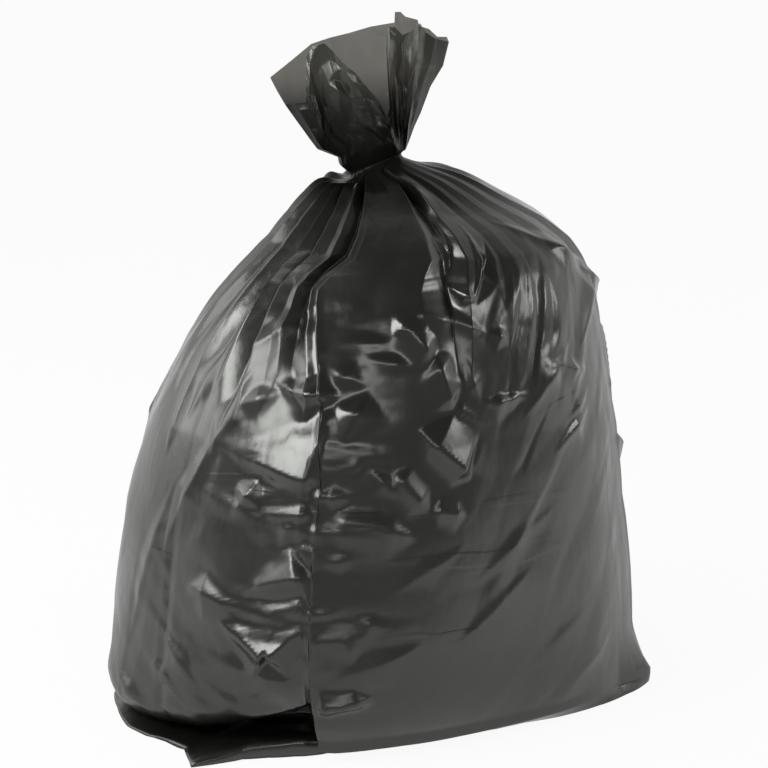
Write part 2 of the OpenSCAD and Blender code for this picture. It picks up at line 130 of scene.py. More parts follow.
# gathers and pleats: direction, depth, and percent of the height where each dies out
CREASES = np.array([
    [142, 0.5, 60], [150, -0.7, 55], [157, 0.5, 65], [164, -0.6, 60],
    [172, 0.8, 50], [179, -0.6, 62], [184, 0.9, 62], [190.5, -1.7, 56],
    [195, 1.1, 58], [201, 0.3, 60], [205, 0.7, 66], [209, -1.6, 66],
    [215, 0.6, 60], [223, 0.1, 75], [231, 0, 75], [240, 0.9, 68],
    [246, -2, 66], [252, 0.7, 66], [259, 0.1, 70], [267, -0.4, 74],
    [274, 0.1, 78], [281, -0.1, 78], [289, 0.2, 80], [298, -0.15, 80],
    [306, 0.15, 78], [315, -0.15, 75], [322, 0.3, 70], [333, -0.3, 60],
    [344, 0.3, 58], [355, -0.2, 60], [366, 0.5, 55], [377, -0.6, 60],
    [388, 0.3, 58], [399, -0.4, 50], [411, 0.7, 60], [422, -0.3, 56],
    [433, 0.2, 62], [444, -0.7, 58], [456, 0.5, 55], [467, -0.3, 60],
    [479, 0.7, 56], [490, -0.6, 58], [502, 0.5, 60]])

# by percent of the height: share of the lean
DRIFT = [[0, 0], [37, 0], [55, 0.17], [67, 0.45], [75, 0.69], [83, 0.93], [87, 1], [91.5, 0.9],
         [95.5, 0.7], [98, 0.35], [100, -0.1]]
# by direction: width of the film on the floor, as a share of the body's
FOOTPRINT = [[142, 1.05], [150, 1.01], [162, 1.05], [173, 1.08], [179, 1.08], [184, 1.05], [190, 1.04],
             [197, 1.14], [203, 0.97], [213, 0.87], [223, 0.81], [239, 0.765], [256, 0.8], [272, 0.85],
             [290, 0.93], [302, 1], [310, 1.03], [319, 1.09], [326, 1], [340, 0.95], [360, 0.97],
             [390, 0.95], [411, 0.97], [420, 0.94], [450, 0.92], [480, 0.95], [502, 1.05]]
# by direction: share by which the foot is drawn in, and the height up to which it is
TUCK = [[142, 0.2, 45], [160, 0.16, 34], [178, 0.22, 34], [190, 0.35, 44], [205, 0.6, 70], [214, 0.7, 90],
        [217, 0.75, 108], [219.5, 0.22, 108], [239, 0.235, 112], [255, 0.2, 108], [272, 0.14, 100],
        [290, 0.07, 90], [310, 0, 70], [319, 0, 60], [328, 0.1, 70], [340, 0.25, 80], [360, 0.3, 80],
        [390, 0.3, 80], [420, 0.3, 80], [450, 0.35, 90], [480, 0.3, 80], [502, 0.2, 45]]
# by direction: height of the lip, how far it hangs over, and height of the recess below it
HEM = [[142, 9, 4, 5], [160, 6, 4, 3.6], [172, 6.5, 10, 3.6], [179, 9, 30, 4], [184, 12, 50, 5],
       [190, 17, 68, 6], [197, 25, 78, 8], [203, 33, 82, 10], [209, 42, 80, 12], [214, 51, 74, 14],
       [217, 54, 66, 16], [219.5, 24, 1, 12], [223, 20, 0, 10], [300, 18, 0, 9], [319, 14, 0, 8],
       [330, 16, 5, 11], [360, 16, 6, 11], [450, 18, 7, 13], [502, 9, 4, 5]]
# by percent of the height: degrees by which the creases bend sideways
CORNER_DRIFT = [[0, 0], [50, 0], [55, -1.5], [63, -4], [68, -7], [75.5, -13], [81.5, -18.5], [84, -17],
                [87.5, -11], [92.5, -9], [100, -7]]
PLEAT_DRIFT = [[0, 0], [50, 0], [64, 7], [78, 6], [90, 1], [100, 0]]
# rim of the tuft, from its left end round the front and the back: percent across, up and to the front
RIM = np.array([
    [-107, 54, 0], [-100, 46, 15], [-91, 37, 31], [-80, 38, 46], [-68, 39, 56], [-68, 54, 51],
    [-68, 68, 41], [-61, 75, 36], [-49, 77, 46], [-40, 72, 46], [-30, 65, 62], [-17, 59, 72], [-5, 50, 79],
    [7, 42, 85], [17, 30, 77], [19, 34, 60], [18, 46, 50], [17, 59, 44], [16, 74, 40], [18, 87, 38],
    [25, 87, 38], [33, 82, 26], [43, 85, 44], [51, 90, 58], [57, 84, 38], [66, 80, 31], [82, 77, 0],
    [80, 80, -21], [70, 80, -31], [61, 85, -36], [51, 87, -31], [49, 91, -31], [36, 93, -36], [31, 96, -36],
    [25, 96, -31], [25, 89, -41], [16, 88, -51], [-1, 86, -62], [-23, 82, -67], [-44, 79, -62],
    [-64, 75, -51], [-84, 65, -31], [-107, 54, 0]], float)
# where those points leave the neck: number in RIM, direction
ROOT = [[0, 142], [3, 160], [6, 192], [8, 218], [10, 246], [12, 264], [14, 278], [16, 288], [20, 303],
        [23, 315], [26, 322], [30, 350], [34, 390], [38, 440], [42, 502]]

# flat-faced folds: direction and percent of the height of both ends, place of the peak between them, reach
# above and below, height
FOLDS = [
    [191.5, 53.7, 218.8, 51, 0.9, 52, 36, 11], [200, 66, 219, 64, 0.65, 16, 22, 9],
    [192, 60.8, 205, 64.9, 0.5, 12, 20, 4], [204, 44.2, 218.5, 45.5, 0.8, 22, 24, 8],
    [198, 48.9, 206, 44.7, 0.5, 24, 20, 6], [209, 44, 216, 42.3, 0.6, 14, 20, 5],
    [214, 38.9, 220, 39.5, 0.5, 8, 16, 3.5], [222, 55.9, 225, 65.2, 0.6, 24, 26, 7],
    [213, 68.5, 225, 65.7, 0.5, 14, 12, 3], [219, 52, 228, 53, 0.8, 6, 10, 3],
    [228, 53, 240, 45.3, 0.4, 6, 12, 4], [234.7, 51.6, 244.8, 44.5, 1.4, 15, 14, 6],
    [244.8, 44.5, 254.5, 43.4, 1.4, 12, 12, 4], [239.6, 58.8, 255.5, 49.0, 1.6, 32, 14, 11.5],
    [254.5, 49.6, 261, 56, 0.3, 12, 18, 2], [241.5, 71, 249.5, 60.5, 1.5, 16, 18, 6.5],
    [248, 61.9, 260, 57.7, 0.3, 7, 14, 2], [258, 61.1, 251, 70.3, 0.4, 10, 14, 3],
    [258, 61.7, 278, 61.9, 0.3, 6, 16, 5], [221, 70.8, 239, 68.5, 0.5, 8, 14, 3],
    [211, 72.4, 230, 73.2, 0.5, 8, 14, 2.5], [221.2, 44.9, 241.8, 40.3, 1.4, 14, 22, 6],
    [232, 43.3, 242, 39.7, 0.6, 8, 16, 4], [219, 48.2, 226, 47.7, 0.4, 12, 12, 4],
    [220, 37.6, 228, 37.3, 0.5, 7, 14, 3], [201, 29.5, 219, 35.5, 0.85, 26, 24, 9],
    [187, 29.6, 204, 28.4, 0.4, 16, 24, 5], [209, 27.7, 220, 30.6, 0.7, 12, 12, 5],
    [197, 25.4, 210, 20.1, 0.92, 28, 20, 12], [210, 20.1, 219, 26.3, 0.08, 26, 18, 12],
    [212, 20.4, 219, 19.4, 0.8, 12, 14, 2], [219.4, 11, 233, 12.3, 1.3, 16, 7, 10.2],
    [226, 28.3, 236, 25.2, 0.5, 6, 16, 4],
    [226, 25, 228, 19, 0.5, 8, 10, 4], [226, 78.5, 243, 69.5, 1.5, 15, 20, 5.5],
    [226, 79.3, 260, 73.3, 0.5, 14, 20, 5], [258, 73.8, 268, 71.1, 0.5, 8, 12, 4],
    [242, 82.2, 253, 79.5, 0.6, 10, 10, 5], [242, 82.2, 246, 95, 0.6, 20, 8, 10],
    [252, 79.1, 260, 95, 0.5, 8, 16, 6], [279, 95, 321, 81.4, 0.6, 16, 24, 7],
    [321, 81.4, 299, 66.1, 0.3, 18, 24, 6], [280, 66.8, 304, 63.3, 0.6, 10, 16, 6],
    [283, 49.6, 303, 57.6, 0.6, 10, 16, 4], [290, 54.9, 303, 60.5, 0.5, 8, 12, 3],
    [221, 15.3, 244, 21.9, 0.5, 20, 24, 5], [163, 10.8, 180, 3.3, 0.5, 10, 14, 4],
    [174, 16.7, 191, 7.8, 0.5, 10, 14, 4], [180, 21.3, 195, 10.1, 0.5, 10, 14, 4],
    [255, 30.1, 286, 42.1, 0.5, 12, 16, 2], [247, 18.3, 278, 31.9, 0.5, 12, 16, 2],
    [269, 10.9, 301, 22.7, 0.5, 12, 16, 2], [233, 30, 256, 38.5, 0.5, 10, 14, 2],
    [289, 7.4, 308, 15.4, 0.5, 12, 14, 2], [272, 57.4, 297, 70.9, 0.5, 12, 16, 3],
    [177, 28.8, 191, 60.7, 0.5, 18, 24, 4], [169, 14.8, 179, 48, 0.5, 18, 24, 3.5],
    [188, 49.4, 194, 68.5, 0.5, 18, 20, 5], [176, 56.2, 180, 72.4, 0.5, 18, 18, 4],
    [186, 68.2, 205, 80.6, 0.5, 18, 24, 5], [266, 91, 252, 78, 0.5, 18, 14, -8]]

# crumpled facets: seed, spacing, stretch, turn, height, directions and shares of the height that they cover
CRUMPLES = {
    "level": (11, 15, 4.5, -3, 1.1, (180, 275), (0, 1)),
    "small": (12, 9, 2.6, 6, 0.45, (190, 250), (0, 1)),
    "slant": (13, 20, 4.0, 50, 1.45, (236, 330), (0, 1)),
    "upright": (14, 22, 4.5, 78, 0.9, (140, 505), (0, 1)),
    "broad": (15, 48, 1.6, 20, 1.6, (140, 505), (0, 1)),
    "sweep": (17, 12, 5.0, -40, 1.4, (142, 222), (0, 0.4)),
    "crinkle": (16, 10, 3.6, 70, 1.6, (248, 312), (0.5, 1))}
# the same for the tuft, but with the millimetres of flat film that they cover
TUFT_RUFFLE = (21, 9, 3.0, 78, 4.0, (-1, 260), (-1, 151))

# by share of the tuft's height: how far its halves have spread towards the rim
LEFT_SPREAD = [[0, 0], [0.08, 0.1], [0.21, 0.13], [0.34, 0.475], [0.68, 0.75], [1, 1]]
RIGHT_SPREAD = [[0, 0], [0.31, 0.3], [0.59, 0.565], [0.78, 0.87], [1, 1]]
# numbers in RIM: the front fold, the right end, the last point, and two thin lines with their heights
FRONT_FOLD = 16
RIGHT_END = 26
LAST_FOLD = 42
THIN_LINES = ((21, 1), (4.5, 0.6))


def lut(table, x, col=1):
    t = np.asarray(table, float)
    return np.interp(x, t[:, 0], t[:, col])


def turn_from(a, b):
    return (a - b + 180) % 360 - 180


def clamp01(x):
    return np.clip(x, 0, 1)


def mixed(a, b, k):
    return a + (b - a) * k


def saw(x):
    return 1 - 4 * np.abs(x - np.floor(x) - 0.5)


def tent(x, middle_at, wide):
    return np.maximum(0, 1 - np.abs(x - middle_at) / wide)


def hump(x, middle_at, wide):
    return clamp01(1.3 * (1 - np.abs(x - middle_at) / wide))


def cosd(a):
    return np.cos(np.radians(a))


def sind(a):
    return np.sin(np.radians(a))


def scattered_folds():
    """Small folds over the right and the back, steeper towards the neck."""
    rng = np.random.default_rng(FOLD_SEED)
    out = []
    for i in range(SCATTERED_FOLDS):
        u = rng.random(6)
        a = (326 + 170 * ((i * 0.618 + 0.1 * u[0]) % 1)) % 360
        z = 10 + 70 * (i + u[1]) / SCATTERED_FOLDS
        half = 8 + 7 * u[2]
        slant = 0 if z <= 50 else 9 if u[4] > 0.5 else -9
        rise = (u[3] - 0.5) * 8 + slant
        out.append([a - half, z - rise, a + half, z + rise, 0.3 + 0.4 * u[5], 14 + 10 * u[4],
                    14 + 20 * u[1], 5 + 4 * u[2]])
    return out


def lift(fold, a, z):
    """How far one fold lifts the film: a crisp crest, a flat face above it and a face below it that dies out.

    A peak over 1 keeps the middle of the crest level, and its digits after the point say where the peak is.
    """
    a1, z1, a2, z2, peak, up, down, height = fold
    z1, z2 = z1 / 100 * FILL_H, z2 / 100 * FILL_H
    ds, dz = turn_from(a2, a1) * MM_PER_DEG, z2 - z1
    length = math.hypot(ds, dz)
    s, y = turn_from(a, a1) * MM_PER_DEG, z - z1
    t = (s * ds + y * dz) / length ** 2
    across = (y * ds - s * dz) / length
    top = peak % 1
    ramp = clamp01(np.where(t < top, t / top, (1 - t) / (1 - top)) * (2.0 if peak > 1 else 1))
    face = clamp01(ramp - across / (up * FOLD_REACH))
    face = face * face / (face + 0.15)
    crest = ramp * ramp / (ramp + 0.15)
    foot = 1.3 * down * FOLD_REACH * np.maximum(ramp, 0.02)
    under = crest * clamp01(1 + across / foot) ** 2
    return 1.05 * height * FOLD_SCALE * np.where(across > 0, face, under) * np.where((t > 0) & (t < 1), 1, 0)


def facets(s, z, seed, spacing, stretch, turn, height, s_range, z_range):
    """Crumpled film: flat facets between scattered points of random height, longer along the given turn."""
    r = np.random.default_rng(seed)
    ca, sa = math.cos(math.radians(turn)), math.sin(math.radians(turn))

    def flat(s, z):
        return (s * ca + z * sa) / (spacing * stretch), (-s * sa + z * ca) / spacing

    ends = [flat(a, b) for a in s_range for b in z_range]
    u0, u1 = min(c[0] for c in ends) - 2, max(c[0] for c in ends) + 2
    v0, v1 = min(c[1] for c in ends) - 2, max(c[1] for c in ends) + 2
    sites = [(i + 0.9 * (r.random() - 0.5) + 0.5 * (j % 2), j + 0.9 * (r.random() - 0.5))
             for i in range(math.floor(u0), math.ceil(u1)) for j in range(math.floor(v0), math.ceil(v1))]
    tri = delaunay_2d_cdt([Vector(q) for q in sites], [], [], 0, 1e-6)
    tops = r.standard_normal(len(tri[0])) * 0.6
    tree = BVHTree.FromPolygons([Vector((q[0], q[1], h)) for q, h in zip(tri[0], tops)], tri[2])
    u, v = flat(s, z)
    out = np.zeros(u.size)
    above = 9
    down = Vector((0, 0, -1))
    inside = (s >= s_range[0]) & (s <= s_range[1]) & (z >= z_range[0]) & (z <= z_range[1])
    for k in np.nonzero(inside.reshape(-1))[0]:
        hit = tree.ray_cast(Vector((u.flat[k], v.flat[k], above)), down)[0]
        out[k] = hit.z if hit else 0
    return height * out.reshape(u.shape)


def crumple(s, z):
    """Crumpled facets: level by the front left corner, slanting on the right, upright on the left and back.

    Each kind is strongest round one direction, which is the first number of its hump.
    """
    a = s / MM_PER_DEG
    t = z / FILL_H
    f = {}
    for name, (*look, turns, shares) in CRUMPLES.items():
        f[name] = facets(s, z, *look, [d * MM_PER_DEG for d in turns], [h * FILL_H for h in shares])
    near = hump(a, 214, 29) * clamp01((0.86 - t) / 0.2)
    right = hump(a, 285, 44)
    left = clamp01((205 - a) / 20) + clamp01((a - 318) / 14)
    back = clamp01((a - 328) / 16) + clamp01((158 - a) / 16)
    out = f["sweep"] * hump(a, 186, 34) * clamp01((0.36 - t) / 0.14)
    out = out + f["level"] * near * 3.1 + f["small"] * near * hump(a, 217, 20) * 1.4
    out = out + f["slant"] * right + f["crinkle"] * hump(a, 278, 24) * hump(t, 0.72, 0.16)
    out = out + f["upright"] * np.minimum(1, left) + 0.8 * f["broad"]
    out = out + back * (1.2 * f["upright"] + 1.3 * f["broad"])
    return out * clamp01(z / 40) * clamp01((0.93 - t) / 0.12)


def outline(a, z):
    """Radius of the plain body, a rounded square that closes towards the dome."""
    t = np.clip(z / DOME_H, 0, 0.9999)
    e = SQUARENESS - 0.45 * t
    return np.sqrt(1 - t ** 2.6) * ((np.abs(cosd(a)) / (BODY_W / 2)) ** e
                                    + (np.abs(sind(a)) / (BODY_D / 2)) ** e) ** (-1 / e)


def ridge(w, middle_at, wide):
    """A crease that stands out: a broad rise with a narrow one on top."""
    d = turn_from(w, middle_at)
    return 0.75 * tent(d, 0, wide) + 0.25 * tent(d, 0, 1.4)


def corners(w, z):
    """The sharp creases of the gusseted film: four corners that stand out, and two gussets that lie in."""
    out = ridge(w, CORNER, 13) + 0.6 * sum(ridge(w, c, 8) for c in OTHER_CORNERS)
    out = out - 0.15 * tent(w, LEFT_GUSSET, 2) - 0.5 * tent(turn_from(w, RIGHT_GUSSET), 0, 4)
    return clamp01(1.25 - z / FILL_H) * CORNER_RIDGE * out


def ears(a, z):
    """The pointed bottom corners, at the front right and the back left."""
    place = tent(a, RIGHT_EAR, 9) + 0.6 * tent(turn_from(a, LEFT_EAR), 0, 10)
    return EAR_OUT * clamp01(1 - z / EAR_H) ** 1.5 * place


def sag(a, z):
    """The filling hangs over to the left near the floor."""
    return SAG_OUT * tent(np.where(a < 400, a, a - 360), SAG_AT, 36) * clamp01(1 - z / SAG_H) ** 1.2


def film_r(a0, a, z, folds):
    """Radius of the film: a0 is the column's own direction, a the one to which the creases have bent it."""
    r = outline(a, z)
    u = clamp01(1 - z / lut(TUCK, a0, 2))
    rounding = 1 - lut(TUCK, a0) * (1 - np.sqrt(1 - u * u))
    start = lut(CREASES, a0, 2) / 100 * FILL_H
    gathers = lut(CREASES, a0) * GATHER_DEPTH * clamp01((z - start) / (FILL_H - start)) ** 0.7
    high = np.zeros_like(r)
    deep = np.zeros_like(r)
    s = a * MM_PER_DEG
    aw = a + 0.2 * (np.sin(z / 23 + s / 41) + np.sin(z / 11 - s / 29) * 0.6)
    zw = z + 1.0 * (np.sin(s / 19 + z / 37) + 0.6 * np.sin(s / 9.5 - z / 21))
    for fold in folds:
        h = lift(fold, aw, zw)
        high = np.maximum(high, h)
        deep = np.minimum(deep, h)
    # the single row of the lip stays plain, and so do the big folds
    more = crumple(s, z) if np.ndim(z) == 2 else 0
    more = more * (1 - 0.8 * clamp01((high - deep - 3) / 3))
    relief = (high + deep + corners(a0 % 360, z) + more) * clamp01(r / 130)
    return r * rounding * (1 + gathers) + relief + ears(a0, z) + sag(a0, z)


def middle(z):
    """Where the leaning sack's middle is at a height."""
    d = LEAN * lut(DRIFT, z / FILL_H * 100)
    return d * cosd(SPREAD_TURN), d * sind(SPREAD_TURN)


def shoulder(a, z):
    """How far the tilt of the shoulder and the neck moves the upper body's film up or down."""
    k = clamp01((z / FILL_H - 0.72) / 0.25) ** 1.6
    right = cosd(a - SPREAD_TURN)
    tilt = NECK_TILT * np.where(right > 0, -0.75, 0.3) * right
    return k * (-SHOULDER_TILT * np.maximum(-0.15, cosd(a - SHOULDER_AT)) + tilt)


def neck_z(a):
    return FILL_H + NECK_TILT / 2 * cosd(a - SPREAD_TURN)


def at(mx, my, r, a, z):
    return np.stack([mx + r * cosd(a), my + r * sind(a), z + 0 * r], -1)


def columns():
    """Directions of the grid's columns, closer together at the front and by the corner crease."""
    out = []
    for i in range(len(CREASES) - 1):
        n = FRONT_COLUMNS if CREASES[i, 0] < FRONT_END else BACK_COLUMNS
        out += list(np.linspace(CREASES[i, 0], CREASES[i + 1, 0], n + 1)[:-1])
    near = [CORNER + side * d for side in (-1, 1) for d in (1.0, 0.5, 0.25, 0.12)]
    return np.array(sorted([c for c in out if abs(c - CORNER) > 1.1 or c == CORNER] + near))


def hem_rows(a, folds):
    """Rows from the bottom's middle to the film's edge, in under the lip at the left, and out to the lip."""
    rows = []
    waves = np.arange(len(a)) / len(a) * HEM_WAVES
    edge = outline(a, 0 * a) * lut(FOOTPRINT, a) + HEM_WAVE * saw(waves)
    lip_z, deep_z = lut(HEM, a), lut(HEM, a, 3)
    lip_r = film_r(a, a, lip_z, folds)
    deep_r = lip_r - lut(HEM, a, 2)
    stands = hump(a, HEM_STANDS_AT, 20)
    for share_out in (0.01, 0.5):
        rows.append(at(0, 0, edge * share_out, a, FLOOR_GAP))
    for t in np.linspace(0, 1, HEM_ROWS):
        z = mixed(FLOOR_GAP, deep_z, t ** (1.2 - 0.6 * stands))
        z = z + HEM_STANDS_UP * stands * math.sin(math.pi * t)
        rows.append(at(0, 0, mixed(edge, deep_r, t ** (1 + 2.5 * stands)), a, z))
    for t in np.linspace(0, 1, HEM_ROWS)[1:]:
        rows.append(at(0, 0, mixed(deep_r, lip_r, t ** 5), a, mixed(deep_z, lip_z, 1 - (1 - t) ** 1.6)))
    return rows


def body_rows(a, folds):
    """Rows from the lip up to the shoulder, closer together low down; the creases bend the columns."""
    j = np.arange(1, BODY_ROWS)[:, None]
    s = 1 - (1 - j / (BODY_ROWS - 1)) ** 1.35
    z = mixed(lut(HEM, a)[None, :], BODY_TOP, s)
    near = tent(a, CORNER, 45)[None, :]
    pleat = tent(a, PLEAT, 13)[None, :]
    b = a[None, :] + lut(CORNER_DRIFT, z / FILL_H * 100) * near + lut(PLEAT_DRIFT, z / FILL_H * 100) * pleat
    r = film_r(a[None, :] + 0 * z, b, z, folds)
    mx, my = middle(z)
    return list(at(mx, my, r, b, z + shoulder(b, z)))


def averaged_round(values, a):
    """Mean of each value over six degrees to either side."""
    turns = np.r_[a - 360, a, a + 360]
    near = a[:, None] + np.linspace(-6, 6, 7)
    return np.stack([np.interp(near, turns, np.tile(v, 3)).mean(-1) for v in values.T], -1)


def tuft_place(a):
    """Number in RIM at a column, and the direction in which that point leaves the neck."""
    idx = np.interp(a, CREASES[:, 0], np.arange(len(CREASES)))
    return idx, lut(ROOT, idx)


def neck_rows(a, before, last):
    """From the shoulder up a cone of pleats to the pinch, then a turn into the folds of the tuft."""
    g = lut(CREASES, a) * (1 - 0.6 * hump(a, 296, 44))
    root = tuft_place(a)[1]
    mx, my = middle(np.array([FILL_H]))
    ax, ay = mx + NECK_SHIFT * cosd(SPREAD_TURN), my + NECK_SHIFT * sind(SPREAD_TURN)
    low = at(ax, ay, NECK_R * 1.05 + 2 * g, a, neck_z(a) - NECK_H)
    lead = averaged_round(last - before, a)
    lead *= (np.linalg.norm(low - last, axis=-1) / np.linalg.norm(lead, axis=-1))[:, None]
    out = []
    for t in np.linspace(0, 1, CONE_ROWS + 1)[1:]:
        p = mixed(last, low, t) + (lead - (low - last)) * t * (1 - t) ** 2
        p[:, 2] += (4.2 * g + 4) * np.sin(np.pi * t) ** 2
        out.append(p)
    for t in np.linspace(0, 1, PINCH_ROWS + 1)[1:]:
        k = t * t * (3 - 2 * t)
        b = mixed(a, root, k)
        r = NECK_R * (1 - 0.16 * np.sin(np.pi * t)) + g * (1 - k)
        x = r * cosd(b - SPREAD_TURN)
        y = r * mixed(1.05, NECK_FLAT, k) * sind(b - SPREAD_TURN)
        out.append(np.stack([ax + x * cosd(SPREAD_TURN) - y * sind(SPREAD_TURN),
                             ay + x * sind(SPREAD_TURN) + y * cosd(SPREAD_TURN),
                             neck_z(b) + mixed(-NECK_H, 0, t)], -1))
    return out


def tuft_rows(a):
    """Rows of the fan of film above the neck, from the pinch to its uneven rim."""
    idx, root = tuft_place(a)
    rim = np.stack([np.interp(idx, np.arange(len(RIM)), RIM[:, k]) for k in range(3)], -1) / 100
    mx, my = middle(np.array([FILL_H]))
    x0 = NECK_SHIFT + NECK_R * cosd(root - SPREAD_TURN)
    y0 = -NECK_R * NECK_FLAT * sind(root - SPREAD_TURN)
    x1, y1 = rim[:, 0] * TUFT_W / 2, rim[:, 2] * TUFT_D / 2
    z0, z1 = neck_z(root), FILL_H + rim[:, 1] * TUFT_H
    left = clamp01((1 - rim[:, 0]) / 1.6)
    from_ends = np.minimum.reduce([idx, np.abs(idx - RIGHT_END), LAST_FOLD - idx])
    front = np.where(idx < RIGHT_END, 1, -1) * np.minimum(1, from_ends / 3)
    away = np.minimum(1, np.abs(idx - FRONT_FOLD) / 5)
    fold = saw(idx / 2) * (0.6 + 0.4 * sind(idx * 132)) * TUFT_FOLD * away
    line = sum(height * tent(idx, place, 1 / 8) for place, height in THIN_LINES)
    along = np.linspace(0, 1, TUFT_ROWS)
    ruffle = facets(idx[None, :] * TUFT_STEP + 0 * along[:, None], along[:, None] * TUFT_FILM_H + 0 * a,
                    *TUFT_RUFFLE)
    rows = []
    for j, v in enumerate(along):
        g = mixed(lut(RIGHT_SPREAD, v), lut(LEFT_SPREAD, v), left)
        x = mixed(x0, x1, g)
        y = mixed(y0, y1, v ** 0.7) + front * 8 * np.sin(np.pi * v ** 0.8)
        y = y + front * min(1, v / 0.25) * (fold * (1 - 0.55 * v) + ruffle[j]) + front * 1.6 * line
        rows.append(np.stack([mx + x * cosd(SPREAD_TURN) + y * sind(SPREAD_TURN),
                              my + x * sind(SPREAD_TURN) - y * cosd(SPREAD_TURN), mixed(z0, z1, v)], -1))
    return rows


def grid_mesh(name, grid):
    """Mesh of a grid of points (rows, columns, 3) in millimetres, closed round the columns."""
    n_r, n_c = grid.shape[:2]
    me = bpy.data.meshes.new(name)
    co = (grid - CENTRING) * 0.001
    j, i = np.meshgrid(np.arange(n_r - 1), np.arange(n_c), indexing="ij")
    n = (i + 1) % n_c
    quads = np.stack([j * n_c + i, j * n_c + n, (j + 1) * n_c + n, (j + 1) * n_c + i], -1).reshape(-1, 4)
    me.vertices.add(n_r * n_c)
    me.vertices.foreach_set("co", co.reshape(-1))
    me.loops.add(quads.size)
    me.loops.foreach_set("vertex_index", quads.reshape(-1).astype(np.int32))
    me.polygons.add(len(quads))
    me.polygons.foreach_set("loop_start", np.arange(0, quads.size, 4, dtype=np.int32))
    me.update(calc_edges=True)
    me.polygons.foreach_set("use_smooth", np.ones(len(quads), bool))
    me.validate()
    ob = bpy.data.objects.new(name, me)
    bpy.context.scene.collection.objects.link(ob)
    return ob


def mark_crease(ob, grid, a):
    """Stores where the dashed corner crease runs, as a value from 0 to 1 at each point."""
    z = grid[..., 2]
    dash = 0.7 + 0.3 * np.sin(z / 5.3 + 2 * np.sin(z / 31))
    line = tent(a, CORNER, 0.3)[None, :] * dash * clamp01((430 - z) / 60)
    mark = ob.data.attributes.new("crease", "FLOAT", "POINT")
    mark.data.foreach_set("value", line.astype(np.float32).reshape(-1))


def direction(az, el):
    """Unit vector from the sack: 0 is the front, and a negative azimuth is to the left."""
    a, e = math.radians(az), math.radians(el)
    return Vector((math.sin(a) * math.cos(e), -math.cos(a) * math.cos(e), math.sin(e)))


def node(tree, kind, inputs, **settings):
    """Adds a node with its settings and inputs."""
    n = tree.nodes.new("ShaderNode" + kind)
    for key, v in settings.items():
        setattr(n, key, v)
    join(tree, n, inputs)
    return n


def join(tree, n, inputs):
    """Sets a node's inputs: each takes a number or colour, or is linked to the output of another node."""
    for key, v in inputs.items():
        if isinstance(v, bpy.types.NodeSocket):
            tree.links.new(v, n.inputs[key])
        else:
            n.inputs[key].default_value = v


def remap(tree, value, from_min, from_max, to_min, to_max):
    """Goes smoothly from one value to another between two values of the input."""
    inputs = {"Value": value, "From Min": from_min, "From Max": from_max, "To Min": to_min, "To Max": to_max}
    return node(tree, "MapRange", inputs, interpolation_type="SMOOTHSTEP").outputs["Result"]


def combine(tree, operation, a, b):
    return node(tree, "Math", {0: a, 1: b}, operation=operation).outputs[0]


def along_axis(tree, place, axis):
    """How far a place lies along a direction."""
    return node(tree, "VectorMath", {0: place, 1: axis}, operation="DOT_PRODUCT").outputs["Value"]


def height_of(tree, place):
    return node(tree, "SeparateXYZ", {0: place}).outputs["Z"]


def noise(tree, place, scale, detail, stretch, turn=(0, 0, 0), rough=0.5):
    turned = node(tree, "Mapping", {"Vector": place, "Scale": stretch,
                                    "Rotation": [math.radians(t) for t in turn]}).outputs["Vector"]
    return node(tree, "TexNoise", {"Vector": turned, "Scale": scale, "Detail": detail, "Roughness": rough},
                noise_type="FBM").outputs["Fac"]


def wrinkles(tree, place, crease):
    """Normal of the film: soft waves, fine grain, two sets of thin lines and, if asked, the marked crease."""
    layers = [(noise(tree, place, 22, 3, (1, 1, 0.6)), 0.35, 0.004),
              (noise(tree, place, 160, 5, (1, 1, 0.3), (0, 25, 40), 0.6), 0.12, 0.001),
              (remap(tree, noise(tree, place, 26, 2, (1, 1, 0.12), (28, -34, 0), 0.4), 0.62, 0.66, 0, 1),
               0.25, 0.0006),
              (remap(tree, noise(tree, place, 30, 2, (0.14, 0.14, 1), (8, 12, 0), 0.4), 0.64, 0.67, 0, 1),
               0.25, 0.0006)]
    if crease:
        layers.append((node(tree, "Attribute", {}, attribute_name="crease").outputs["Fac"], 0.9, 0.0012))
    below = {}
    for height, strength, distance in layers:
        n = node(tree, "Bump", {"Height": height, "Strength": strength, "Distance": distance, **below})
        below = {"Normal": n.outputs["Normal"]}
    return below["Normal"]


def film_material(name, gloss_painted_shade_by_height, crease=False, see_through=False):
    """Dark glossy film whose gloss drops by the neck, a painted shade.
    A see-through one is less glossy at its right side, also painted shade, and also lets light through.
    """
    m = bpy.data.materials.new(name)
    m.use_nodes = True
    tree = m.node_tree
    film = tree.nodes["Principled BSDF"]
    place = node(tree, "TexCoord", {}).outputs["Object"]
    # painted shade: the gloss drops by the neck
    gloss = remap(tree, height_of(tree, place), *gloss_painted_shade_by_height)
    if see_through:
        # painted shade: the tuft's right side is less glossy
        to_right = along_axis(tree, place, TO_RIGHT)
        gloss = combine(tree, "MULTIPLY", gloss, remap(tree, to_right, 0.03, 0.07, 1.0, 0.4))
    join(tree, film, {
        "Base Color": FILM_COLOUR,
        "IOR": 1.5,
        "Specular Tint": GLOSS_TINT,
        "Specular IOR Level": gloss,
        "Roughness": remap(tree, noise(tree, place, 9, 4, (1, 1, 0.7)), 0.35, 0.65, 0.2, 0.34),
        "Normal": wrinkles(tree, place, crease)})
    if see_through:
        high = remap(tree, height_of(tree, place), *TUFT_THROUGH)
        colours = {"Factor": high, "A": (0, 0, 0, 1), "B": THROUGH_COLOUR}
        tint = node(tree, "Mix", colours, data_type="RGBA").outputs["Result"]
        clear = node(tree, "BsdfTransparent", {"Color": tint}).outputs["BSDF"]
        both = node(tree, "AddShader", {0: film.outputs["BSDF"], 1: clear}).outputs["Shader"]
        join(tree, tree.nodes["Material Output"], {"Surface": both})
    return m


